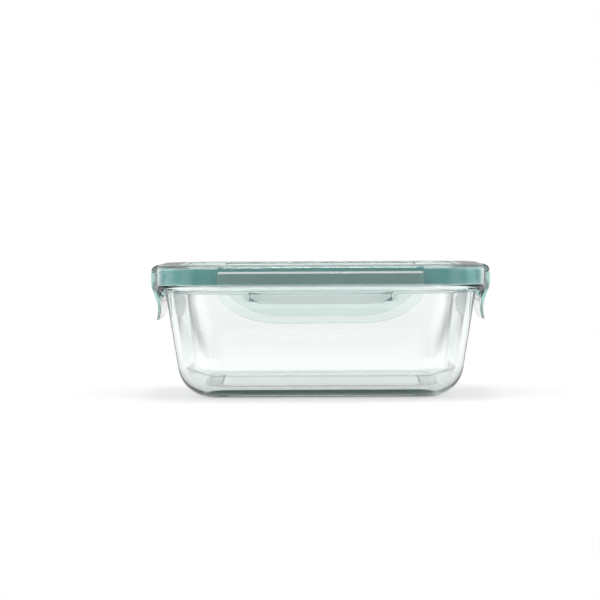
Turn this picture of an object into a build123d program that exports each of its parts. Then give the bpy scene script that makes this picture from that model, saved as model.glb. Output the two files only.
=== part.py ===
"""Glass storage container with a clip-down lid: a pressed glass dish, a clear moulded lid
with a silicone gasket, and four latch wings on living hinges.

Millimetres. +X right, +Y back, +Z up. The origin is the centre of the base, on the table.
"""
import os
from math import cos, pi, radians, sin, tan

from build123d import *

# ---------- overall size ----------
overall_width = 203.2        # over the two side wings
overall_depth = 150.0        # over the front and back wings
overall_height = 80.0        # table to the top of the lid's rim

# ---------- lid ----------
lid_corner_radius = 30.0     # plan radius of the skirt's outer face
skirt_wall = 1.7
plug_wall = 1.7
plug_depth = 5.4             # plug wall below the central panel
rim_thickness = 2.2          # plastic above the gasket
rim_rounding = 3.4           # shoulder between the rim and the skirt
rim_width = 15.5             # raised border round the central panel
rim_inner_rounding = 1.6
panel_drop = 2.6             # central panel below the rim
panel_thickness = 1.8

# ---------- gasket ----------
gasket_crown = 4.0           # silicone between the glass lip and the lid
gasket_inner_leg = 2.3
gasket_inner_leg_length = 2.8
gasket_to_skirt_edge = 0.6   # gasket's lower edge above the skirt's lower edge
seal_clearance = 0.3         # between silicone and glass

# ---------- glass ----------
lip_wall = 3.6
lip_height = 6.0             # lip above the flange
lip_rounding = 1.3
flange_thickness = 3.7
flange_rounding = 1.4
flange_setback = 1.2         # flange edge inside the skirt's outer face
lid_to_flange_gap = 0.4
wall_setback = 5.9           # wall under the flange, inside the skirt's outer face
wall_draft = 8.3             # degrees
wall_thickness = 3.8
outer_corner_radius_top = 25.0
outer_corner_radius_base = 26.0
inner_corner_radius_base = 22.0
base_thickness = 5.0
outer_base_fillet = 20.0
inner_base_fillet = 16.0
foot_width = 6.5             # flat ring that the dish stands on
foot_recess = 0.8            # middle of the base above the table
foot_recess_corner_radius = 9.0

# ---------- latch wings ----------
wing_wall = 1.7
wing_to_skirt_gap = 1.0      # wing's inner face to the skirt at the hinge
front_wing_width = 121.8
side_wing_width = 84.0
front_wing_drop = 29.2       # upper edge to lower edge
side_wing_drop = 29.2
front_corner_width = 36.5    # half-axes of the elliptical lower corners
side_corner_width = 26.0
wing_corner_height = 20.8
wing_straight = 5.0          # flat part below the hinge
wing_waist_level = 21.2      # narrowest place, below the upper edge
wing_waist = 3.7             # how far the waist is pinched in
wing_flare = 2.2             # how far the finger lip turns out again
hook_height = 6.0            # rib that grips under the flange
hook_nose = 1.1              # blunt edge of the rib
hook_clearance = 0.3         # rib to the flange and to the glass wall
front_hook_width = 84.0
side_hook_width = 56.0

# ---------- living hinges ----------
ledge_height = 3.8           # lid ledge that the hinge web hangs from
ledge_rounding = 5.4
ledge_inset = 0.1            # ledge inside the wing's outer face
hinge_slot = 1.2             # ledge to the wing's upper edge
web_thickness = 0.5
web_inset = 0.2              # web inside the wing's outer face
web_end_notch = 0.8          # open notch at each end of a web

# ---------- worked out from the values above ----------
wing_to_skirt = wing_wall + wing_to_skirt_gap
skirt_width = overall_width - 2 * wing_to_skirt
skirt_depth = overall_depth - 2 * wing_to_skirt
channel_top = overall_height - rim_thickness
panel_top = overall_height - panel_drop
panel_bottom = panel_top - panel_thickness
plug_bottom = panel_bottom - plug_depth
ledge_bottom = overall_height - ledge_height
wing_top = ledge_bottom - hinge_slot
groove_top = channel_top - gasket_crown
lip_top = groove_top - seal_clearance
flange_top = lip_top - lip_height
flange_bottom = flange_top - flange_thickness
skirt_bottom = flange_top + lid_to_flange_gap
gasket_bottom = skirt_bottom + gasket_to_skirt_edge
inner_leg_bottom = groove_top - gasket_inner_leg_length
wall_slope = tan(radians(wall_draft))
fillet_run = tan(radians(45 - wall_draft / 2))


def outer_setback(height):
    """Drafted outer wall at a height, inside the skirt's outer face."""
    return wall_setback + (flange_bottom - height) * wall_slope


def inner_setback(height):
    """Drafted inner wall at a height, inside the skirt's outer face."""
    return outer_setback(height) + wall_thickness


lip_outer_setback = inner_setback(lip_top) - lip_wall
leg_outer_setback = inner_setback(inner_leg_bottom) + seal_clearance
plug_setback = leg_outer_setback + gasket_inner_leg
flat_base_setback = outer_setback(0) + outer_base_fillet * fillet_run


def rounded_outline(setback, radius=None, mode=Mode.ADD):
    """Rounded rectangle inside the skirt's outer face by the setback."""
    radius = lid_corner_radius - setback if radius is None else radius
    RectangleRounded(skirt_width - 2 * setback, skirt_depth - 2 * setback, radius, mode=mode)


os.makedirs("parts", exist_ok=True)


def save(piece, name):
    """Label a finished piece and write its STEP file."""
    piece.part.label = name
    export_step(piece.part, f"parts/{name}.step")


# ---------- glass container ----------
with BuildPart() as dish_body:
    with BuildSketch() as dish_base:
        rounded_outline(outer_setback(0), outer_corner_radius_base)
    with BuildSketch(Plane.XY.offset(flange_bottom)) as dish_shoulder:
        rounded_outline(wall_setback, outer_corner_radius_top)
    loft(ruled=True)
    fillet(dish_body.edges().group_by(Axis.Z)[0], outer_base_fillet)

with BuildPart() as dish_cavity:
    with BuildSketch(Plane.XY.offset(base_thickness)) as cavity_floor:
        rounded_outline(inner_setback(base_thickness), inner_corner_radius_base)
    with BuildSketch(Plane.XY.offset(lip_top)) as cavity_mouth:
        rounded_outline(inner_setback(lip_top))
    loft(ruled=True)
    fillet(dish_cavity.edges().group_by(Axis.Z)[0], inner_base_fillet)

with BuildPart() as glass_container:
    with BuildSketch(Plane.XY.offset(flange_bottom)) as flange_outline:
        rounded_outline(flange_setback)
    extrude(amount=flange_thickness)
    fillet(glass_container.edges().group_by(Axis.Z)[0], flange_rounding)
    fillet(glass_container.edges().group_by(Axis.Z)[-1], flange_rounding)
    with BuildSketch(Plane.XY.offset(flange_top)) as lip_outline:
        rounded_outline(lip_outer_setback)
    extrude(amount=lip_height)
    add(dish_body.part)
    add(dish_cavity.part, mode=Mode.SUBTRACT)
    fillet(glass_container.edges().group_by(Axis.Z)[-1], lip_rounding)
    with BuildSketch() as base_recess:
        rounded_outline(flat_base_setback + foot_width, foot_recess_corner_radius)
    extrude(amount=foot_recess, mode=Mode.SUBTRACT)
save(glass_container, "glass_container")

# ---------- gasket: an inverted U over the glass lip ----------
with BuildPart() as gasket:
    with BuildSketch(Plane.XY.offset(gasket_bottom)) as gasket_outline:
        rounded_outline(skirt_wall)
        rounded_outline(plug_setback, mode=Mode.SUBTRACT)
    extrude(amount=channel_top - gasket_bottom)
    with BuildSketch(Plane.XY.offset(gasket_bottom)) as lip_groove:
        rounded_outline(lip_outer_setback - seal_clearance)
        rounded_outline(leg_outer_setback, mode=Mode.SUBTRACT)
    extrude(amount=groove_top - gasket_bottom, mode=Mode.SUBTRACT)
    with BuildSketch(Plane.XY.offset(gasket_bottom)) as below_inner_leg:
        rounded_outline(lip_outer_setback - seal_clearance)
    extrude(amount=inner_leg_bottom - gasket_bottom, mode=Mode.SUBTRACT)
save(gasket, "gasket")

# ---------- sides: name, direction in degrees, span, wing width, drop, corner, hook ----------
front_wing = (overall_depth / 2, front_wing_width, front_wing_drop, front_corner_width, front_hook_width)
side_wing = (overall_width / 2, side_wing_width, side_wing_drop, side_corner_width, side_hook_width)
sides = {
    "front": (-90, *front_wing),
    "back": (90, *front_wing),
    "right": (0, *side_wing),
    "left": (180, *side_wing),
}


def section_plane(angle):
    """Upright plane through the middle of a side: X outward, Y up."""
    turn = radians(angle)
    return Plane(origin=(0, 0, 0), x_dir=(cos(turn), sin(turn), 0), z_dir=(sin(turn), -cos(turn), 0))


def face_plane(angle):
    """Upright plane parallel to a side: X along the side, Y up."""
    turn = radians(angle)
    return Plane(origin=(0, 0, 0), x_dir=(-sin(turn), cos(turn), 0), z_dir=(cos(turn), sin(turn), 0))


# ---------- lid ----------
with BuildPart() as lid:
    with BuildSketch(Plane.XY.offset(skirt_bottom)) as lid_outline:
        rounded_outline(0)
    extrude(amount=overall_height - skirt_bottom)
    fillet(lid.edges().group_by(Axis.Z)[-1], rim_rounding)
    for angle, half_span, width, *_ in sides.values():
        with BuildSketch(section_plane(angle)) as ledge_section:
            with BuildLine() as ledge_profile:
                arc_centre = (half_span - ledge_rounding, ledge_bottom)
                shoulder = EllipticalCenterArc(
                    arc_centre, ledge_rounding - ledge_inset, ledge_height
                )
                Polyline(
                    shoulder @ 1,
                    (half_span - ledge_rounding, channel_top),
                    (half_span - wing_to_skirt - skirt_wall / 2, ledge_bottom),
                    shoulder @ 0,
                )
            make_face()
        extrude(amount=width / 2, both=True)
    with BuildSketch(Plane.XY.offset(panel_top)) as rim_opening:
        rounded_outline(rim_width)
    extrude(amount=panel_drop, mode=Mode.SUBTRACT)
    rim_top = lid.faces().filter_by(Axis.Z).sort_by(Axis.Z)[-1]
    fillet(rim_top.inner_wires()[0].edges(), rim_inner_rounding)
    with BuildSketch(Plane.XY.offset(skirt_bottom)) as gasket_channel:
        rounded_outline(skirt_wall)
        rounded_outline(plug_setback, mode=Mode.SUBTRACT)
    extrude(amount=channel_top - skirt_bottom, mode=Mode.SUBTRACT)
    with BuildSketch(Plane.XY.offset(skirt_bottom)) as below_plug:
        rounded_outline(skirt_wall)
    extrude(amount=plug_bottom - skirt_bottom, mode=Mode.SUBTRACT)
    with BuildSketch(Plane.XY.offset(plug_bottom)) as inside_plug:
        rounded_outline(plug_setback + plug_wall)
    extrude(amount=plug_depth, mode=Mode.SUBTRACT)
save(lid, "lid")

# ---------- latch wings ----------
def wing_face(below, drop):
    """How far a wing's outer face is pinched in, a distance below its upper edge."""
    if below <= wing_straight:
        return 0.0
    if below <= wing_waist_level:
        share = (below - wing_straight) / (wing_waist_level - wing_straight)
        return wing_waist * (1 - cos(pi * share)) / 2
    share = (below - wing_waist_level) / (drop - wing_waist_level)
    return wing_waist - wing_flare * share ** 2


profile_steps = 14           # points along a wing's curve
hook_top = flange_bottom - hook_clearance
hook_reach = wing_to_skirt + wall_setback - hook_clearance

for side, (angle, half_span, width, drop, corner_width, hook_width) in sides.items():
    levels = [drop * step / profile_steps for step in range(profile_steps + 1)]
    outer_points = [(half_span - wing_face(below, drop), wing_top - below) for below in levels]
    inner_points = [(x - wing_wall, z) for x, z in outer_points]
    wing_bottom = wing_top - drop
    corner_level = wing_bottom + wing_corner_height
    hook_root_top = half_span - wing_face(wing_top - hook_top, drop) - wing_wall / 2
    hook_root_bottom = half_span - wing_face(wing_top - hook_top + hook_height, drop) - wing_wall / 2

    with BuildPart() as wing:
        with BuildSketch(section_plane(angle)) as wing_section:
            with BuildLine() as wing_profile:
                Spline(*outer_points)
                Line(outer_points[-1], inner_points[-1])
                Spline(*reversed(inner_points))
                Line(inner_points[0], outer_points[0])
            make_face()
        extrude(amount=width / 2, both=True)
        with BuildSketch(face_plane(angle)) as wing_outline:
            with BuildLine() as wing_edge:
                Line((-width / 2, wing_top), (-width / 2, corner_level))
                left_centre = (corner_width - width / 2, corner_level)
                EllipticalCenterArc(left_centre, corner_width, wing_corner_height, 180)
                Line((corner_width - width / 2, wing_bottom), (width / 2 - corner_width, wing_bottom))
                right_centre = (width / 2 - corner_width, corner_level)
                EllipticalCenterArc(right_centre, corner_width, wing_corner_height, 270)
                Polyline((width / 2, corner_level), (width / 2, wing_top), (-width / 2, wing_top))
            make_face()
        extrude(amount=half_span, mode=Mode.INTERSECT)
        with BuildSketch(section_plane(angle)) as hook_section:
            with BuildLine() as hook_profile:
                Polyline(
                    (half_span - hook_reach, hook_top),
                    (hook_root_top, hook_top),
                    (hook_root_bottom, hook_top - hook_height),
                    (half_span - hook_reach, hook_top - hook_nose),
                    close=True,
                )
            make_face()
        extrude(amount=hook_width / 2, both=True)
    save(wing, f"{side}_wing")

    with BuildPart() as web:
        with BuildSketch(section_plane(angle)) as web_section:
            web_middle = half_span - web_inset - web_thickness / 2
            with Locations((web_middle, wing_top + hinge_slot / 2)):
                Rectangle(web_thickness, hinge_slot)
        extrude(amount=width / 2 - web_end_notch, both=True)
    save(web, f"{side}_hinge_web")

hinge_setback = web_inset + web_thickness / 2
hinge_level = wing_top + hinge_slot / 2
print(f"hinge lines: {hinge_setback} inside the outer faces, {hinge_level} above the table")
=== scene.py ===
# %% [markdown]
# # A glass food container with a clip-down lid
#
# This lesson dresses a finished CAD model in glass, clear plastic and silicone. The frame comes
# first: it says where every piece is and how it moves, and nothing here changes that.

# %% Load the frame
from math import asin, cos, degrees, pi, radians, sin, sqrt, tan

import bmesh
import bpy
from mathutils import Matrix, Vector


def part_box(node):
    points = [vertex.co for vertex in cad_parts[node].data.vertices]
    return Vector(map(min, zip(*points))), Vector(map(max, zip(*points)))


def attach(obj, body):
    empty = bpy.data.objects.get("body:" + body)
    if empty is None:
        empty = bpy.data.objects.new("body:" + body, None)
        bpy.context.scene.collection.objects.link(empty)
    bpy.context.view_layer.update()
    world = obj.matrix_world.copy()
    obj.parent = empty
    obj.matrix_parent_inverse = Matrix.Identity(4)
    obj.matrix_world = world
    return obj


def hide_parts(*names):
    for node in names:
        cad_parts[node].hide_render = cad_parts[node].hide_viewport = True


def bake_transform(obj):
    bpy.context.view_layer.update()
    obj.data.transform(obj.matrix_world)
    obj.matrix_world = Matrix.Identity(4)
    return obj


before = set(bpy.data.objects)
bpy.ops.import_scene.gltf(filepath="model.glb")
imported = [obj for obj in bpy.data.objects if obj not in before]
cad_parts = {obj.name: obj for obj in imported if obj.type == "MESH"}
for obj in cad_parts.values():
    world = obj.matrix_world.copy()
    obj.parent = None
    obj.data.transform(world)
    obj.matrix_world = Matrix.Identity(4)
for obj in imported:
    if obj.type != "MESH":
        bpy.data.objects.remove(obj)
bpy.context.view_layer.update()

# %% [markdown]
# ## Sizes
#
# Blender works in metres. Everything that the frame can tell is read from it: the skirt's outer
# face, the levels of the lip, the skirt and the wings. What the frame can't tell, such as a
# wall's thickness, is a named value in millimetres, turned into metres by one small function.

# %% Sizes from the frame and from the design
mm = 0.001
dish_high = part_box("glass_container")[1]
lid_low, lid_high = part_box("lid")
seal_low, seal_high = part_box("gasket")
front_low, front_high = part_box("front_wing")
side_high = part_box("right_wing")[1]

envelope_x, envelope_y = side_high.x, -front_low.y
wing_to_skirt = 2.7 * mm
skirt_x, skirt_y = envelope_x - wing_to_skirt, envelope_y - wing_to_skirt
plan_radius = 30 * mm
top = lid_high.z
skirt_bottom = lid_low.z
lip_top = dish_high.z
wing_top = front_high.z
print(f"skirt {2 * skirt_x:.4f} x {2 * skirt_y:.4f}, lip {lip_top:.4f}, wings from {wing_top:.4f}")

# %% [markdown]
# ## One outline for everything
#
# The dish, the gasket and the lid are all rounded rectangles stacked inside each other. One way
# would be to bevel boxes, but then the rings of one piece don't line up. Here every piece is
# lofted from rings that share the same stations round the outline. A station is a share of the
# straight side and an outward direction, so a ring of any size has a point for it.

# %% Stations and rings
corner_steps = 18


def straight_stops(half_length, step, extra=()):
    """Places along a straight side, from -1 to 1, without its ends."""
    count = max(2, round(2 * half_length / step))
    stops = [-1 + 2 * i / count for i in range(1, count)]
    stops = [s for s in stops if all(abs(abs(s) - e) > 0.6 * mm / half_length for e in extra)]
    return sorted(stops + [-e for e in extra] + list(extra))


def outline_stations(long_stops, short_stops):
    """Stations counter-clockwise from the right-hand side: share along x, share along y, direction."""
    stations = []
    for turn in range(4):
        along = short_stops if turn % 2 == 0 else long_stops
        c, s = round(cos(turn * pi / 2)), round(sin(turn * pi / 2))
        for t in along:
            stations.append((c - s * t, s + c * t, c, s))
        for i in range(corner_steps + 1):
            angle = turn * pi / 2 + pi / 2 * i / corner_steps
            stations.append((c - s, s + c, cos(angle), sin(angle)))
    return stations


def ring(stations, setback, z, corner=plan_radius):
    """Points of a rounded rectangle: its setback from the skirt's face, and where its corners centre."""
    radius = max(corner - setback, 0.2 * mm)
    core_x, core_y = skirt_x - setback - radius, skirt_y - setback - radius
    return [Vector((u * core_x + nx * radius, v * core_y + ny * radius, z)) for u, v, nx, ny in stations]


def arc(centre, radius, start, end, steps):
    """Points of a round edge in a section: (setback, height). Angle 0 points inward, 90 up."""
    angles = [radians(start + (end - start) * i / steps) for i in range(steps + 1)]
    return [(centre[0] + radius * cos(a), centre[1] + radius * sin(a)) for a in angles]


# %% [markdown]
# A loft joins each ring to the next with quads. A ring that has more points than its neighbour,
# as where the foot of the dish is stippled, is joined by faces with one long edge and several
# short ones. Recalculating the normals at the end makes every shell face outward, which glass
# needs: a ray has to know whether it goes in or comes out. Weighted normals keep a wide flat face
# flat beside a small round edge. Without them smooth shading bends its reflections, and light that
# bounces inside the clear plastic gets lost.

# %% Lofting
def finish_mesh(mesh_builder, name, smooth_angle=40):
    """Turn a bmesh into a smooth-shaded object with outward normals."""
    bmesh.ops.recalc_face_normals(mesh_builder, faces=mesh_builder.faces)
    mesh = bpy.data.meshes.new(name)
    mesh_builder.to_mesh(mesh)
    mesh_builder.free()
    for polygon in mesh.polygons:
        polygon.use_smooth = True
    mesh.set_sharp_from_angle(angle=radians(smooth_angle))
    piece = bpy.data.objects.new(name, mesh)
    bpy.context.scene.collection.objects.link(piece)
    flats = piece.modifiers.new("flat_faces", "WEIGHTED_NORMAL")
    flats.mode = "FACE_AREA"
    flats.keep_sharp = True
    print(f"{name}: {len(mesh.polygons)} faces")
    return piece


def loft(name, rings, closed=False, smooth_angle=40):
    """A solid through the rings. A closed loft meets its own first ring, an open one is capped."""
    bm = bmesh.new()
    levels = [[bm.verts.new(p) for p in points] for points in rings]
    pairs = list(zip(levels, levels[1:]))
    if closed:
        pairs.append((levels[-1], levels[0]))
    for low, high in pairs:
        coarse, fine = (low, high) if len(low) <= len(high) else (high, low)
        share = len(fine) // len(coarse)
        for i, vert in enumerate(coarse):
            following = coarse[(i + 1) % len(coarse)]
            between = [fine[(share * i + k) % len(fine)] for k in range(share, -1, -1)]
            bm.faces.new([vert, following] + between)
    if not closed:
        bm.faces.new(levels[0])
        bm.faces.new(levels[-1])
    return finish_mesh(bm, name, smooth_angle)


# %% [markdown]
# ## The dish
#
# The real dish is pressed glass: drafted walls about 4 mm thick, generous fillets inside and
# out, a flange that the latches grip and a lip, rounded by flame, that the gasket seals on. Its
# section is one line from the middle of the underside, round the outside, over the lip and down
# to the middle of the floor.

# %% Dish section
wall_draft = tan(radians(8.3))
wall_lean = 8.3
flange_bottom = lip_top - 9.7 * mm
flange_top = lip_top - 6.0 * mm
flange_edge = skirt_x - dish_high.x
wall_thickness = 3.8 * mm
base_thickness = 5 * mm
outer_fillet = 20 * mm
inner_fillet = 16 * mm
lip_wall = 3.6 * mm


def outer_wall(z):
    return 5.9 * mm + (flange_bottom - z) * wall_draft


def inner_wall(z):
    return outer_wall(z) + wall_thickness


def between(z, low, high, at_low, at_high):
    """Straight change of a value between two heights."""
    share = min(max((z - low) / (high - low), 0), 1)
    return at_low + (at_high - at_low) * share


def outer_corner(z):
    at_base, at_flange = outer_wall(0) + 26 * mm, outer_wall(flange_bottom) + 25 * mm
    return between(z, 0, flange_bottom, at_base, at_flange)


def inner_corner(z):
    return between(z, base_thickness, lip_top, inner_wall(base_thickness) + 22 * mm, plan_radius)


# %% [markdown]
# The dish stands on a flat ring. Pressed glass has that ring, and the start of the fillet round
# it, stippled with small beads, so that the smooth surface never touches the table and isn't
# scratched. The beads are real hollows in the mesh, a fraction of a millimetre deep, because
# thick glass magnifies them. A bump in the material would be lost when the mesh is used alone.

# %% Stippled foot
foot_start = outer_wall(0) + outer_fillet * tan(radians(45 - wall_lean / 2))
foot_width = 6.5 * mm
foot_end = foot_start + foot_width
recess_height = 0.8 * mm
recess_corner = foot_end + 9 * mm
stipple_start = foot_start - 6.2 * mm
bead_pitch = 2.3 * mm
bead_depth = 0.42 * mm
bead_rows = 5
fine_share = 8
dish_stations = outline_stations(straight_stops(58 * mm, 4 * mm), straight_stops(32 * mm, 4 * mm))


def subdivided(stations, share):
    """Stations with more points between each pair, so that fine rings meet coarse ones."""
    fine = []
    for a, b in zip(stations, stations[1:] + stations[:1]):
        for k in range(share):
            mix = [p + (q - p) * k / share for p, q in zip(a, b)]
            length = sqrt(mix[2] ** 2 + mix[3] ** 2)
            fine.append((mix[0], mix[1], mix[2] / length, mix[3] / length))
    return fine


def foot_height(setback):
    """Height of the plain underside, before it is stippled."""
    return outer_fillet - sqrt(outer_fillet ** 2 - max(0, foot_start - setback) ** 2)


fine_stations = subdivided(dish_stations, fine_share)


def beaded_ring(share):
    """A ring of the foot, from the start of the stipple at 0 to the recess at 1."""
    setback = stipple_start + share * (foot_end - 0.4 * mm - stipple_start)
    corner = between(setback, foot_start, foot_end, outer_corner(0), recess_corner)
    points = ring(fine_stations, setback, foot_height(setback), corner)
    lengths = [(b - a).length for a, b in zip(points, points[1:] + points[:1])]
    turns = round(sum(lengths) / bead_pitch)
    fade = min(1, 6 * share, 6 * (1 - share))
    across = sin(pi * bead_rows * share)
    walked = 0
    for point, length in zip(points, lengths):
        around = cos(2 * pi * turns * walked / sum(lengths))
        point.z += bead_depth * fade * (1 - around * across) / 2
        walked += length
    return points


# %% Dish rings
def section_rings(section, corner_of, stations):
    return [ring(stations, setback, z, corner_of(setback, z)) for setback, z in section]


foot_steps = 30
step_round = 0.5 * mm
underside = [(foot_end + 6 * mm, recess_height)]
underside += arc((foot_end + step_round, recess_height - step_round), step_round, 90, 180, 4)
rings = section_rings(underside, lambda s, z: max(recess_corner, s + 6 * mm), dish_stations)
rings += [beaded_ring(1 - step / foot_steps) for step in range(foot_steps + 1)]

fillet_start = 270 - degrees(asin((foot_start - stipple_start + 1 * mm) / outer_fillet))
outside = arc((foot_start, outer_fillet), outer_fillet, fillet_start, 180 + wall_lean, 22)
outside += [(outer_wall(z), z) for z in [outside[-1][1] + 6 * mm * k for k in range(1, 7)]
            if z < flange_bottom - 3 * mm]
neck = 1.2 * mm
outside += arc((5.9 * mm - neck, flange_bottom - neck), neck, -wall_lean, 90, 6)
edge_round = 1.4 * mm
outside += arc((flange_edge + edge_round, flange_bottom + edge_round), edge_round, 270, 180, 6)
outside += arc((flange_edge + edge_round, flange_top - edge_round), edge_round, 180, 90, 6)
lip_outer = inner_wall(lip_top) - lip_wall
root = 0.7 * mm
outside += arc((lip_outer - root, flange_top + root), root, 270, 360, 4)
lip_round = 1.5 * mm
outside += arc((lip_outer + lip_round, lip_top - lip_round), lip_round, 180, 90, 8)
rings += section_rings(outside, lambda s, z: outer_corner(z) if z < flange_bottom else plan_radius,
                       dish_stations)

inside = arc((inner_wall(lip_top) - lip_round, lip_top - lip_round), lip_round, 90, -wall_lean, 8)
inner_tangent = inner_wall(base_thickness) + inner_fillet * tan(radians(45 - wall_lean / 2))
bowl = arc((inner_tangent, base_thickness + inner_fillet), inner_fillet, 180 + wall_lean, 270, 22)
levels = [inside[-1][1] + (bowl[0][1] - inside[-1][1]) * k / 8 for k in range(1, 8)]
inside += [(inner_wall(z), z) for z in levels] + bowl
inside += [(inner_tangent + k * mm, base_thickness) for k in (4, 10, 17)]
rings += section_rings(inside, lambda s, z: max(inner_corner(z), s + 8 * mm), dish_stations)
dish = loft("dish", rings)
first = len(underside) * len(dish_stations)
last = first + (foot_steps + 1) * len(fine_stations)
# Each stippled point carries its outward direction: the mask for the foot's painted shade.
foot_shade_marks = dish.data.attributes.new("foot", "FLOAT_VECTOR", "POINT")
for vertex, mark in zip(dish.data.vertices, foot_shade_marks.data):
    if first <= vertex.index < last:
        station = fine_stations[(vertex.index - first) % len(fine_stations)]
        share = between(vertex.co.z, 0.9 * mm, 1.4 * mm, 1, 0)
        mark.vector = (station[2] * share, station[3] * share, 0)
print("stippled vertices", last - first)
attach(dish, "container")
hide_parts("glass_container")

# %% [markdown]
# ## The gasket
#
# The seal is a soft ring with the section of an upside-down U. It sits in the lid's channel and
# caps the glass lip. Its outer wall stands right behind the clear skirt, so it colours the whole
# band round the lid. Two thin ribs on the ceiling of the U press on the lip.

# %% Gasket loft
seal_gap = 0.3 * mm
optical_gap = 0.12 * mm
seal_outer = skirt_x - seal_high.x + optical_gap
seal_groove = lip_outer - seal_gap
groove_top = lip_top + seal_gap
leg_bottom = groove_top - 2.8 * mm
leg_outer = inner_wall(leg_bottom) + seal_gap
plug_face = leg_outer + 2.3 * mm
seal_inner = plug_face - optical_gap
seal_top = seal_high.z - optical_gap
soft = 0.6 * mm
section = arc((seal_outer + soft, seal_low.z + soft), soft, 180, 270, 4)
section += arc((seal_groove - soft, seal_low.z + soft), soft, 270, 360, 4)
section += [(seal_groove, groove_top - 1.5 * mm)]
section += arc((seal_groove + soft, groove_top - soft), soft, 180, 90, 4)
rib = 0.22 * mm
rib_foot = 0.35 * mm
for share in (0.36, 0.64):
    middle = seal_groove + share * (leg_outer - seal_groove)
    section += [(middle - rib_foot, groove_top), (middle, groove_top - rib), (middle + rib_foot, groove_top)]
section += arc((leg_outer - soft, groove_top - soft), soft, 90, 0, 4)
section += arc((leg_outer + soft, leg_bottom + soft), soft, 180, 270, 4)
section += arc((seal_inner - soft, leg_bottom + soft), soft, 270, 360, 4)
section += arc((seal_inner - soft, seal_top - soft), soft, 0, 90, 4)
section += arc((seal_outer + soft, seal_top - soft), soft, 90, 180, 4)
seal_stations = outline_stations(straight_stops(68.9 * mm, 9 * mm), straight_stops(42.3 * mm, 9 * mm))
seal = loft("seal", section_rings(section, lambda s, z: plan_radius, seal_stations), closed=True)
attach(seal, "lid")
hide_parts("gasket")

# %% [markdown]
# ## The lid
#
# The lid is one injection moulding about 2 mm thick: a recessed panel, a raised rim, a skirt
# outside the glass and a plug wall inside it. Over each latch the rim swells into a ledge that
# the hinge hangs from. The ledge isn't a separate block: the section itself changes from plain
# to ledge within half a millimetre, which gives the ledge the rounded ends that a mould gives.

# %% Lid section
channel_top = seal_high.z
shoulder = 3.4 * mm
ledge_out = -2.6 * mm
ledge_bottom = wing_top + 1.2 * mm
ledge_reach = 5.3 * mm
ledge_rise = top - ledge_bottom
shoulder_steps = 12
plain_edge = arc((shoulder, top - shoulder), shoulder, 90, 180, shoulder_steps)
ledge_lip = 0.3 * mm
ledge_angles = [pi / 2 * (1 - i / shoulder_steps) for i in range(shoulder_steps + 1)]
ledge_edge = [(ledge_out + ledge_reach * (1 - cos(a)),
               ledge_bottom + ledge_lip + (ledge_rise - ledge_lip) * sin(a)) for a in ledge_angles]
under_ledge = arc((ledge_out + ledge_lip, ledge_bottom + ledge_lip), ledge_lip, 200, 270, 3)
under_ledge += arc((-0.35 * mm, ledge_bottom - 0.35 * mm), 0.35 * mm, 90, 0, 4)
plain_run = [(0, top - shoulder - 0.18 * mm * (i + 1)) for i in range(len(under_ledge))]

rim_width = 15.5 * mm
panel_top = top - 2.6 * mm
panel_bottom = panel_top - 1.8 * mm
plug_bottom = panel_bottom - 5.4 * mm
skirt_wall = 1.7 * mm
lip_edge = 0.5 * mm
upper = [(rim_width + 3.6 * mm, panel_top)]
upper += arc((rim_width + 0.7 * mm, panel_top + 0.7 * mm), 0.7 * mm, 270, 180, 5)
upper += arc((rim_width - 1.6 * mm, top - 1.6 * mm), 1.6 * mm, 0, 90, 7)
lower = [(0, z) for z in (ledge_bottom - 2 * mm, ledge_bottom - 4.5 * mm)]
lower += arc((lip_edge, skirt_bottom + lip_edge), lip_edge, 180, 270, 4)
lower += arc((skirt_wall - lip_edge, skirt_bottom + lip_edge), lip_edge, 270, 360, 4)
lower += arc((skirt_wall + 0.4 * mm, channel_top - 0.4 * mm), 0.4 * mm, 180, 90, 3)
lower += arc((plug_face - 0.4 * mm, channel_top - 0.4 * mm), 0.4 * mm, 90, 0, 3)
lower += arc((plug_face + 0.6 * mm, plug_bottom + 0.6 * mm), 0.6 * mm, 180, 270, 4)
lower += arc((plug_face + 1.1 * mm, plug_bottom + 0.6 * mm), 0.6 * mm, 270, 360, 4)
lower += arc((plug_face + 2.6 * mm, panel_bottom - 0.9 * mm), 0.9 * mm, 180, 90, 5)
lower += [(rim_width + 3.6 * mm, panel_bottom)]
plain_section = upper + plain_edge + plain_run + lower
ledge_section = upper + ledge_edge + under_ledge + lower

# %% Lid loft
half_wing = {"front": front_high.x, "back": front_high.x, "right": side_high.y, "left": side_high.y}
long_core, short_core = skirt_x - plan_radius, skirt_y - plan_radius
end_steps = (0, 0.12, 0.28, 0.5, 0.8)
long_extra = [(half_wing["front"] - e * mm) / long_core for e in end_steps]
short_extra = [(half_wing["right"] - e * mm) / short_core for e in end_steps]
lid_stations = outline_stations(straight_stops(long_core, 6 * mm, long_extra),
                                straight_stops(short_core, 6 * mm, short_extra))


def ledge_share(station):
    """1 inside a ledge, 0 outside it, and a round change between."""
    u, v, nx, ny = station
    if abs(nx) < 1e-6:
        inside_end = half_wing["front"] - abs(u) * long_core
    elif abs(ny) < 1e-6:
        inside_end = half_wing["right"] - abs(v) * short_core
    else:
        return 0
    t = min(max(inside_end / (0.8 * mm), 0), 1)
    return sqrt(t * (2 - t))


shares = [ledge_share(s) for s in lid_stations]
lid_rings = []
for plain, ledge in zip(plain_section, ledge_section):
    plain_ring = ring(lid_stations, *plain)
    ledge_ring = ring(lid_stations, *ledge)
    lid_rings.append([a.lerp(b, share) for a, b, share in zip(plain_ring, ledge_ring, shares)])
cover = loft("cover", lid_rings)
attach(cover, "lid")
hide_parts("lid")

# %% [markdown]
# ## The latch wings
#
# Each wing is a thin clear plate with rounded lower corners. From the side it is a soft S: flat
# at the hinge, pinched in at the waist, turned out again as a lip for the fingertips. On its
# inner face is the hook, a rib with a flat top that catches under the glass flange. The plate is
# a grid with an outer and an inner skin, so the hook is part of the inner skin and the plastic
# has no wall inside it.

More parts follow.
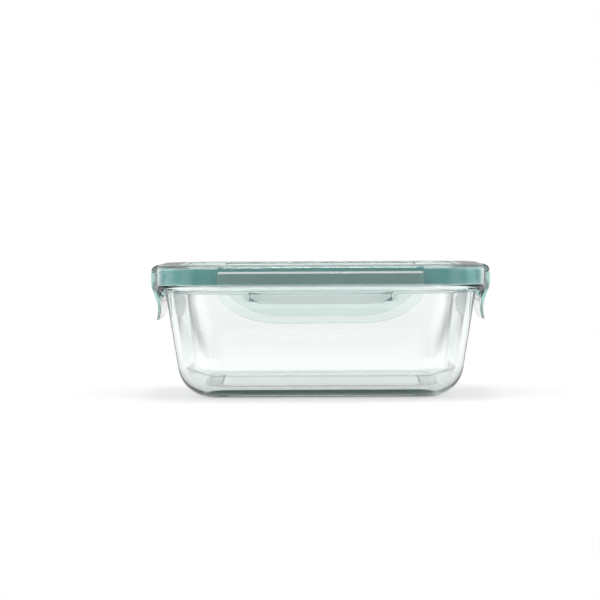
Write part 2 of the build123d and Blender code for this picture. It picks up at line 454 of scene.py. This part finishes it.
# %% Wing shape
wing_wall = 1.7 * mm
wing_straight = 5 * mm
waist_level = 21.2 * mm
waist = 3.7 * mm
flare = 2.2 * mm
corner_rise = 20.8 * mm
hook_top = wing_top - flange_bottom + 0.3 * mm
hook_height = 6.0 * mm
hook_nose = 1.1 * mm
hook_reach = wing_to_skirt + 5.9 * mm - 0.3 * mm


def wing_face(below, drop):
    """How far the outer skin is pinched in, a distance below the hinge edge."""
    if below <= wing_straight:
        return 0
    if below <= waist_level:
        return waist * (1 - cos(pi * (below - wing_straight) / (waist_level - wing_straight))) / 2
    return waist - flare * ((below - waist_level) / (drop - waist_level)) ** 2


def wing_columns(width, corner_width, hook_width):
    """Places across a wing, closer together round its corners and at the ends of its hook."""
    flat = width / 2 - corner_width
    round_part = [flat + corner_width * sin(pi / 2 * i / 22) for i in range(23)]
    straight_part = [flat * i / 10 for i in range(10)]
    hook_ends = [hook_width / 2 + e * mm for e in (-0.5, -0.3, -0.1, 0.1)]
    right = [x for x in straight_part + round_part if all(abs(x - h) > 0.4 * mm for h in hook_ends)]
    right = sorted(right + hook_ends)
    return [-x for x in reversed(right) if x > 0] + right


# %% [markdown]
# The rows run down the plate. Near the hook they keep their height, so that the hook's flat top
# is one clean line. Below it they share out what is left of the plate at that column, which is
# less and less towards the rounded corners.

# %% Wing mesh
row_levels = [0, 1.2, 2.6, 4, 5.5, 7, 8.5, 9.8, 10.9]
hook_rows = [(hook_top - 0.06 * mm, 0), (hook_top + 0.06 * mm, 1), (hook_top + hook_nose, 1),
             (hook_top + hook_height, 0)]
hook_end = hook_top + hook_height
lower_steps = 16


def drop_at(x, width, corner_width, drop):
    """Height of the plate at a place across it."""
    past = abs(x) - (width / 2 - corner_width)
    if past <= 0:
        return drop
    return drop - corner_rise * (1 - sqrt(max(0, 1 - (past / corner_width) ** 2)))


def wing_mesh(name, width, drop, corner_width, hook_width, place):
    columns = wing_columns(width, corner_width, hook_width)
    rows = [(level * mm, 0) for level in row_levels] + hook_rows
    rows += [(hook_end + (drop - hook_end) * k / lower_steps, 0) for k in range(1, lower_steps + 1)]
    bm = bmesh.new()
    outer, inner = [], []
    for x in columns:
        plate = drop_at(x, width, corner_width, drop)
        held = min(hook_end, 0.6 * plate)
        in_hook = min(max((hook_width / 2 - abs(x)) / (0.4 * mm) + 0.5, 0), 1)
        outer_column, inner_column = [], []
        for level, hooked in rows:
            if level <= hook_end:
                below = level * held / hook_end
            else:
                below = held + (level - hook_end) * (plate - held) / (drop - hook_end)
            face = wing_face(below, drop)
            reach = (hook_reach - face - wing_wall) * hooked * in_hook
            z = wing_top - below
            outer_column.append(bm.verts.new(place(x, face, z)))
            inner_column.append(bm.verts.new(place(x, face + wing_wall + reach, z)))
        outer.append(outer_column)
        inner.append(inner_column)
    last_row, last_column = len(rows) - 1, len(columns) - 1
    for skin in (outer, inner):
        for i in range(last_column):
            for j in range(last_row):
                bm.faces.new([skin[i][j], skin[i + 1][j], skin[i + 1][j + 1], skin[i][j + 1]])
    for i in range(last_column):
        for j in (0, last_row):
            bm.faces.new([outer[i][j], outer[i + 1][j], inner[i + 1][j], inner[i][j]])
    for j in range(last_row):
        for i in (0, last_column):
            bm.faces.new([outer[i][j], outer[i][j + 1], inner[i][j + 1], inner[i][j]])
    bmesh.ops.recalc_face_normals(bm, faces=bm.faces)
    rim = [e for e in bm.edges if e.calc_face_angle(0) > radians(52)]
    bmesh.ops.bevel(bm, geom=rim, offset=0.45 * mm, segments=3, profile=0.5, affect="EDGES",
                    clamp_overlap=True)
    return finish_mesh(bm, name, smooth_angle=40)


# %% [markdown]
# ## Four wings and their living hinges
#
# The four wings are the same design in two widths. A living hinge is a web of plastic so thin
# that it bends a hundred thousand times without tiring. Each web here is a strip that runs from
# the lid's ledge at one edge to the top of the wing at the other.

# %% Wings on their sides
web_thickness = 0.5 * mm
web_inset = 0.2 * mm
web_notch = 0.8 * mm
placings = {"front": lambda x, y, z: (x, -envelope_y + y, z), "back": lambda x, y, z: (-x, envelope_y - y, z),
         "right": lambda x, y, z: (envelope_x - y, x, z), "left": lambda x, y, z: (-envelope_x + y, -x, z)}
wide_wing, narrow_wing = (29.2 * mm, 36.5 * mm, 84 * mm), (29.2 * mm, 26 * mm, 56 * mm)
shapes = {"front": wide_wing, "back": wide_wing, "right": narrow_wing, "left": narrow_wing}
wings, webs = [], []
for side, place in placings.items():
    drop, corner_width, hook_width = shapes[side]
    plate = wing_mesh(f"{side}_latch", 2 * half_wing[side], drop, corner_width, hook_width, place)
    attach(plate, f"{side}_wing")
    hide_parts(f"{side}_wing")
    wings.append(plate)

    bm = bmesh.new()
    bends = 8
    across = 12
    half_web = half_wing[side] - web_notch
    layers = []
    for depth in (web_inset, web_inset + web_thickness):
        layers.append([[bm.verts.new(place(half_web * (2 * i / across - 1), depth,
                                           wing_top + (ledge_bottom - wing_top) * j / bends))
                        for j in range(bends + 1)] for i in range(across + 1)])
    front, back = layers
    for skin in layers:
        for i in range(across):
            for j in range(bends):
                bm.faces.new([skin[i][j], skin[i + 1][j], skin[i + 1][j + 1], skin[i][j + 1]])
    for i in range(across):
        for j in (0, bends):
            bm.faces.new([front[i][j], front[i + 1][j], back[i + 1][j], back[i][j]])
    for j in range(bends):
        for i in (0, across):
            bm.faces.new([front[i][j], front[i][j + 1], back[i][j + 1], back[i][j]])
    web = finish_mesh(bm, f"{side}_web")
    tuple(place(0, web_inset, ledge_bottom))
    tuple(place(0, web_inset, wing_top))
    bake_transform(web)
    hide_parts(f"{side}_hinge_web")
    webs.append(web)

# %% [markdown]
# ## Shader groups
#
# Two effects are shared by the materials, so each is built once as a node group. Three small
# functions come first, because a maths node or a mix takes several lines without them. Moulded and
# pressed surfaces are never quite flat: a slow ripple bends the reflections. Handling leaves
# faint marks that only show as a change of gloss.

# %% Surface ripple and handling marks
def new_group(name, inputs, outputs):
    """An empty shader group with named sockets."""
    group = bpy.data.node_groups.new(name, "ShaderNodeTree")
    for label, value in inputs.items():
        socket = group.interface.new_socket(label, in_out="INPUT", socket_type="NodeSocketFloat")
        socket.default_value = value
    for label in outputs:
        group.interface.new_socket(label, in_out="OUTPUT", socket_type="NodeSocketFloat")
    return group, group.nodes.new("NodeGroupInput"), group.nodes.new("NodeGroupOutput")


def maths(tree, operation, *values):
    """A maths node whose inputs are numbers or other nodes' outputs."""
    node = tree.nodes.new("ShaderNodeMath")
    node.operation = operation
    for socket, value in zip(node.inputs, values):
        if isinstance(value, (int, float)):
            socket.default_value = value
        else:
            tree.links.new(value, socket)
    return node.outputs[0]


def mapped(tree, value, from_min, from_max, to_min=0.0, to_max=1.0, kind="LINEAR"):
    """A value moved from one range to another, held at the ends."""
    node = tree.nodes.new("ShaderNodeMapRange")
    node.interpolation_type = kind
    node.inputs["From Min"].default_value = from_min
    node.inputs["From Max"].default_value = from_max
    node.inputs["To Min"].default_value = to_min
    node.inputs["To Max"].default_value = to_max
    tree.links.new(value, node.inputs["Value"])
    return node.outputs["Result"]


def mixed(tree, share, low, high):
    """A mix from low to high by a share. Both can be numbers or other nodes' outputs."""
    node = tree.nodes.new("ShaderNodeMix")
    node.data_type = "FLOAT"
    tree.links.new(share, node.inputs[0])
    for socket, value in zip(node.inputs[2:4], (low, high)):
        if isinstance(value, (int, float)):
            socket.default_value = value
        else:
            tree.links.new(value, socket)
    return node.outputs[0]


ripple, ripple_in, ripple_out = new_group("Surface_Ripple", {"Scale": 20.0, "Fine Share": 0.2}, ["Height"])
point = ripple.nodes.new("ShaderNodeTexCoord")
slow = ripple.nodes.new("ShaderNodeTexNoise")
fine = ripple.nodes.new("ShaderNodeTexNoise")
link = ripple.links.new
link(point.outputs["Object"], slow.inputs["Vector"])
link(point.outputs["Object"], fine.inputs["Vector"])
link(ripple_in.outputs["Scale"], slow.inputs["Scale"])
link(maths(ripple, "MULTIPLY", ripple_in.outputs["Scale"], 9.0), fine.inputs["Scale"])
fine_share_in = ripple_in.outputs["Fine Share"]
height = maths(ripple, "MULTIPLY_ADD", fine.outputs["Fac"], fine_share_in, slow.outputs["Fac"])
link(height, ripple_out.inputs["Height"])

marks, marks_in, marks_out = new_group(
    "Handling_Marks", {"Scale": 40.0, "Cover": 0.55, "Clean": 0.02, "Marked": 0.12}, ["Roughness"])
point = marks.nodes.new("ShaderNodeTexCoord")
smear = marks.nodes.new("ShaderNodeTexNoise")
smear.inputs["Detail"].default_value = 6.0
smear.inputs["Roughness"].default_value = 0.7
spread = marks.nodes.new("ShaderNodeMapRange")
spread.inputs["From Max"].default_value = 0.8
link = marks.links.new
link(point.outputs["Object"], smear.inputs["Vector"])
link(marks_in.outputs["Scale"], smear.inputs["Scale"])
link(smear.outputs["Fac"], spread.inputs["Value"])
link(marks_in.outputs["Cover"], spread.inputs["From Min"])
link(marks_in.outputs["Clean"], spread.inputs["To Min"])
link(marks_in.outputs["Marked"], spread.inputs["To Max"])
link(spread.outputs["Result"], marks_out.inputs["Roughness"])

# %% [markdown]
# ## Clear materials
#
# Clear materials get most of their colour from depth. The surface lets everything through, and a
# volume inside takes a little red and blue from every millimetre, so a thin wall is nearly clear
# and a long way along the base or an edge is deep green. The volume's colour and density could be
# tried until they look right, but it is easier to say how much of each colour a metre takes away
# and work them out.

# %% Glass and lid plastic
def absorption(red, green, blue):
    """Colour and density of a volume that takes away this much of each colour per metre."""
    density = max(red, green, blue) * 1.1
    return (1 - red / density, 1 - green / density, 1 - blue / density, 1), density


def clear_material(name, ior, clear, tint, per_metre):
    """A material with coloured depth. What isn't clear of it, the last few percent, is milky."""
    material = bpy.data.materials.new(name)
    material.use_nodes = True
    tree = material.node_tree
    shader = tree.nodes["Principled BSDF"]
    shader.inputs["Base Color"].default_value = (*tint, 1)
    shader.inputs["Transmission Weight"].default_value = clear
    shader.inputs["IOR"].default_value = ior
    inside = tree.nodes.new("ShaderNodeVolumeAbsorption")
    inside.inputs["Color"].default_value, inside.inputs["Density"].default_value = absorption(*per_metre)
    tree.links.new(inside.outputs["Volume"], tree.nodes["Material Output"].inputs["Volume"])
    return material


def add_ripple(material, scale, depth, fine_share=0.2):
    """Feed the shared ripple to a material's normal."""
    tree = material.node_tree
    wave = tree.nodes.new("ShaderNodeGroup")
    wave.node_tree = ripple
    wave.inputs["Scale"].default_value = scale
    wave.inputs["Fine Share"].default_value = fine_share
    bump = tree.nodes.new("ShaderNodeBump")
    bump.inputs["Distance"].default_value = depth
    tree.links.new(wave.outputs["Height"], bump.inputs["Height"])
    tree.links.new(bump.outputs["Normal"], tree.nodes["Principled BSDF"].inputs["Normal"])


def add_marks(material, clean, marked, scale=40.0):
    """Feed the shared handling marks to a material's roughness."""
    tree = material.node_tree
    gloss = tree.nodes.new("ShaderNodeGroup")
    gloss.node_tree = marks
    gloss.inputs["Scale"].default_value = scale
    gloss.inputs["Clean"].default_value = clean
    gloss.inputs["Marked"].default_value = marked
    tree.links.new(gloss.outputs["Roughness"], tree.nodes["Principled BSDF"].inputs["Roughness"])


glass = clear_material("Pressed_Glass", 1.5, 1.0, (1, 1, 1), (9.0, 3.6, 4.6))
add_ripple(glass, 26.0, 0.00006)
add_marks(glass, 0.0, 0.03)
plastic = clear_material("Lid_Plastic", 1.49, 0.94, (0.93, 0.985, 0.97), (9.0, 3.6, 4.2))
add_ripple(plastic, 32.0, 0.00005)
add_marks(plastic, 0.0, 0.05)

# %% [markdown]
# ## The foot's painted shade
#
# Seen from the side, the foot of a real dish looks a far deeper green than the walls: light in it
# has run a long way through the glass, and the stipple turns it down into the shade under the dish.
# Here that darkness is painted shade: the foot's base colour turns nearly black-green where it is
# seen straight across, standing in for the shade under the dish and the long green path. From above
# the same glass is clear. When the mesh was made, each stippled point was given the direction that
# leads straight out of the dish there. The material compares it with the direction of sight, and
# paints the shade on the points that are seen straight across the foot. Only light that has entered
# the glass once gets the painted shade: what is seen down through the bowl stays clear.

# %% Foot tint: painted shade
tree = glass.node_tree
# Reads the mask for the foot's painted shade from the mesh.
foot = tree.nodes.new("ShaderNodeAttribute")
foot.attribute_name = "foot"
sight = tree.nodes.new("ShaderNodeNewGeometry")
across = tree.nodes.new("ShaderNodeVectorMath")
across.operation = "DOT_PRODUCT"
tree.links.new(foot.outputs["Vector"], across.inputs[0])
tree.links.new(sight.outputs["Incoming"], across.inputs[1])
straight = mapped(tree, maths(tree, "ABSOLUTE", across.outputs["Value"]), 0.1, 0.3)
path = tree.nodes.new("ShaderNodeLightPath")
once = maths(tree, "LESS_THAN", path.outputs["Transmission Depth"], 1.5)
foot_painted_shade = tree.nodes.new("ShaderNodeMix")
foot_painted_shade.data_type = "RGBA"
foot_painted_shade.inputs[6].default_value = (1, 1, 1, 1)
# Near-black green: the painted shade under the dish, standing in for shade and a long green path.
foot_painted_shade.inputs[7].default_value = (0.0002, 0.008, 0.004, 1)
tree.links.new(maths(tree, "MULTIPLY", straight, once), foot_painted_shade.inputs[0])
tree.links.new(foot_painted_shade.outputs[2], tree.nodes["Principled BSDF"].inputs["Base Color"])

# %% [markdown]
# ## The hinge line
#
# A living hinge goes milky where it has bent, because bending pulls tiny voids into the plastic.
# So the webs get a paler, cloudier version of the lid's plastic. That pale colour is partly this
# real whitening and partly a painted highlight: it draws the bright line along the top of every
# wing that an edge lit from above would give.

# %% Whitened hinge plastic, partly painted highlight
hinge_whitening_and_highlight = bpy.data.materials.new("Hinge_Whitening_And_Highlight")
hinge_whitening_and_highlight.use_nodes = True
shader = hinge_whitening_and_highlight.node_tree.nodes["Principled BSDF"]
# Near-white: the hinge's whitening, and the painted highlight of the line along the wing tops.
shader.inputs["Base Color"].default_value = (0.90, 0.98, 0.96, 1)
shader.inputs["Transmission Weight"].default_value = 0.3
shader.inputs["IOR"].default_value = 1.49
add_ripple(hinge_whitening_and_highlight, 120.0, 0.00008)
add_marks(hinge_whitening_and_highlight, 0.25, 0.45)

# %% [markdown]
# ## Silicone
#
# Silicone is the opposite of the clear plastic: dull, soft and solid in colour, with light that
# soaks in a little way before it comes back. Its colour drifts slightly from place to place and
# its skin has a fine grain.

# %% Silicone
silicone = bpy.data.materials.new("Seal_Silicone")
silicone.use_nodes = True
tree = silicone.node_tree
shader = tree.nodes["Principled BSDF"]
shader.inputs["Subsurface Weight"].default_value = 0.25
shader.inputs["Subsurface Scale"].default_value = 0.002
drift = tree.nodes.new("ShaderNodeTexNoise")
drift.inputs["Scale"].default_value = 30.0
shades = tree.nodes.new("ShaderNodeMix")
shades.data_type = "RGBA"
shades.inputs[6].default_value = (0.028, 0.420, 0.400, 1)
shades.inputs[7].default_value = (0.040, 0.490, 0.465, 1)
tree.links.new(drift.outputs["Fac"], shades.inputs[0])
tree.links.new(shades.outputs[2], shader.inputs["Base Color"])
add_ripple(silicone, 300.0, 0.00004)
add_marks(silicone, 0.38, 0.55)

# %% Hand out the materials
finishes = [(dish, glass), (seal, silicone), (cover, plastic)]
finishes += [(wing, plastic) for wing in wings] + [(web, hinge_whitening_and_highlight) for web in webs]
for piece, material in finishes:
    piece.data.materials.clear()
    piece.data.materials.append(material)
print("materials", sorted({material.name for piece, material in finishes}))

# %% [markdown]
# ## Studio surround
#
# Clear things are lit by what stands around them. An even white surround near the floor shows
# through the walls. It is darker higher up, and in eight narrow stretches round the horizon. Those
# work as black flags do in a glass studio: an edge bends the light sideways, finds a flag there,
# and is drawn as a fine dark line. The front is a little darker too, so that upright faces don't
# mirror white over the gasket. Left and right are brighter, which gives the lid its soft
# highlights. The same shade by direction serves the surround and the far floor, so it is a group.

# %% Shade by direction
shade, shade_in, shade_out = new_group("Surround_Shade", {}, ["Shade"])
shade.interface.new_socket("Direction", in_out="INPUT", socket_type="NodeSocketVector")

parts = shade.nodes.new("ShaderNodeSeparateXYZ")
shade.links.new(shade_in.outputs["Direction"], parts.inputs["Vector"])
heading = maths(shade, "ARCTAN2", parts.outputs["Y"], parts.outputs["X"])
flags = maths(shade, "COSINE", maths(shade, "MULTIPLY", heading, 8.0))
depth = mapped(shade, flags, -0.9, 0.4, 0.35, 0.97, "SMOOTHSTEP")
card = mapped(shade, maths(shade, "SINE", heading), -0.98, -0.85, 0.6, 1.0)
shade.links.new(maths(shade, "MULTIPLY", depth, card), shade_out.inputs["Shade"])


def add_shade(tree, direction):
    """Place the shade group and return its output."""
    node = tree.nodes.new("ShaderNodeGroup")
    node.node_tree = shade
    tree.links.new(direction, node.inputs["Direction"])
    return node.outputs["Shade"]


def seen_white(tree, strength):
    """The strength for light on its way to things, and plain white for the camera itself."""
    path = tree.nodes.new("ShaderNodeLightPath")
    return mixed(tree, path.outputs["Is Camera Ray"], strength, 1.0)


# %% World
world = bpy.data.worlds.new("Studio")
bpy.context.scene.world = world
world.use_nodes = True
tree = world.node_tree
background = tree.nodes["Background"]
background.inputs["Color"].default_value = (1, 1, 1, 1)
looking = tree.nodes.new("ShaderNodeTexCoord").outputs["Generated"]
parts = tree.nodes.new("ShaderNodeSeparateXYZ")
tree.links.new(looking, parts.inputs["Vector"])
height_ramp = tree.nodes.new("ShaderNodeValToRGB")
stops = height_ramp.color_ramp.elements
greys = {0.0: 0.4, 0.03: 0.4, 0.06: 1.0, 0.26: 1.0, 0.38: 0.7, 0.55: 0.7, 0.78: 0.85, 0.90: 1.8, 1.0: 1.8}
for level, grey in greys.items():
    stop = stops[-int(level)] if level in (0, 1) else stops.new(level)
    stop.color = (grey, grey, grey, 1)
tree.links.new(parts.outputs["Z"], height_ramp.inputs["Fac"])
plain = maths(tree, "MULTIPLY", height_ramp.outputs["Color"], add_shade(tree, looking))
sideways = maths(tree, "POWER", maths(tree, "ABSOLUTE", parts.outputs["X"]), 3.0)
shaded = maths(tree, "MULTIPLY_ADD", sideways, 1.8, plain)
tree.links.new(seen_white(tree, shaded), background.inputs["Strength"])

# %% [markdown]
# ## Floor
#
# The floor is a pale sheet that glows a little, like a light table, and takes soft shadows near
# the dish. Further out it turns wholly into a light of its own, as white as the surround, so that
# no horizon shows. Only that far part has the dark flags: near the centre they would make a star.

# %% Floor
floor_mesh = bpy.data.meshes.new("floor")
reach = 12.0
floor_mesh.from_pydata([(-reach, -reach, 0), (reach, -reach, 0), (reach, reach, 0), (-reach, reach, 0)], [],
                       [(0, 1, 2, 3)])
floor = bpy.data.objects.new("floor", floor_mesh)
bpy.context.scene.collection.objects.link(floor)
floor.location.z = -0.2 * mm
paint = bpy.data.materials.new("Studio_Floor")
paint.use_nodes = True
tree = paint.node_tree
shader = tree.nodes["Principled BSDF"]
shader.inputs["Base Color"].default_value = (0.9, 0.9, 0.9, 1)
shader.inputs["Roughness"].default_value = 0.9
shader.inputs["Specular IOR Level"].default_value = 0.2
point = tree.nodes.new("ShaderNodeTexCoord").outputs["Object"]
away = tree.nodes.new("ShaderNodeVectorMath")
away.operation = "LENGTH"
tree.links.new(point, away.inputs[0])
fade = mapped(tree, away.outputs["Value"], 0.22, 0.75, kind="SMOOTHSTEP")
flagged = mixed(tree, fade, 1.0, add_shade(tree, point))
glow = tree.nodes.new("ShaderNodeEmission")
tree.links.new(seen_white(tree, flagged), glow.inputs["Strength"])
blend = tree.nodes.new("ShaderNodeMixShader")
tree.links.new(maths(tree, "MULTIPLY_ADD", fade, 0.5, 0.5), blend.inputs[0])
tree.links.new(shader.outputs[0], blend.inputs[1])
tree.links.new(glow.outputs[0], blend.inputs[2])
tree.links.new(blend.outputs[0], tree.nodes["Material Output"].inputs["Surface"])
floor.data.materials.append(paint)

# %% [markdown]
# ## Soft lights
#
# Three panels add what the surround can't: a small bright one straight above, which every rounded
# edge shows as a crisp white line, and a large dim one on each side for the round corners of the
# lid. They are kept weak, because the renderer lets light from the surround through the glass to
# the floor, but not light from a lamp.

# %% Panels
def soft_light(name, place, aim, size, power):
    lamp = bpy.data.lights.new(name, "AREA")
    lamp.shape = "RECTANGLE"
    lamp.size, lamp.size_y = size
    lamp.energy = power
    holder = bpy.data.objects.new(name, lamp)
    bpy.context.scene.collection.objects.link(holder)
    holder.location = place
    holder.rotation_euler = (Vector(aim) - Vector(place)).to_track_quat("-Z", "Y").to_euler()
    return holder


soft_light("left_panel", (-1.6, -0.5, 0.8), (0, 0, 0.05), (1.2, 1.0), 4)
soft_light("right_panel", (1.6, -0.5, 0.8), (0, 0, 0.05), (1.2, 1.0), 3)
soft_light("top_panel", (0, 0, 1.4), (0, 0, 0), (0.22, 0.22), 3.2)

# %% [markdown]
# ## Camera
#
# A long lens a metre and a half away, at the height of a seated eye just over the lid: the top
# is a thin strip, and the side is seen square on.

# %% Camera
lens = bpy.data.cameras.new("lens")
lens.sensor_width = 36
lens.lens = 145.8
lens.shift_x = -0.03375
lens.clip_end = 100
camera = bpy.data.objects.new("camera", lens)
bpy.context.scene.collection.objects.link(camera)
camera.location = (0, -1.5, 0.105)
camera.rotation_euler = (radians(90 - 1.827), radians(0.26), 0)
bpy.context.scene.camera = camera

# %% [markdown]
# Clear pieces lie behind each other, so a ray needs many steps to come out again. The view
# transform is the plain one, because a white studio should come out white.

# %% Render needs
scene = bpy.context.scene
scene.view_settings.view_transform = "Standard"
scene.cycles.max_bounces = 48
scene.cycles.transmission_bounces = 48
scene.cycles.glossy_bounces = 8
scene.cycles.diffuse_bounces = 4
scene.cycles.sample_clamp_indirect = 4.0
scene.cycles.use_denoising = True
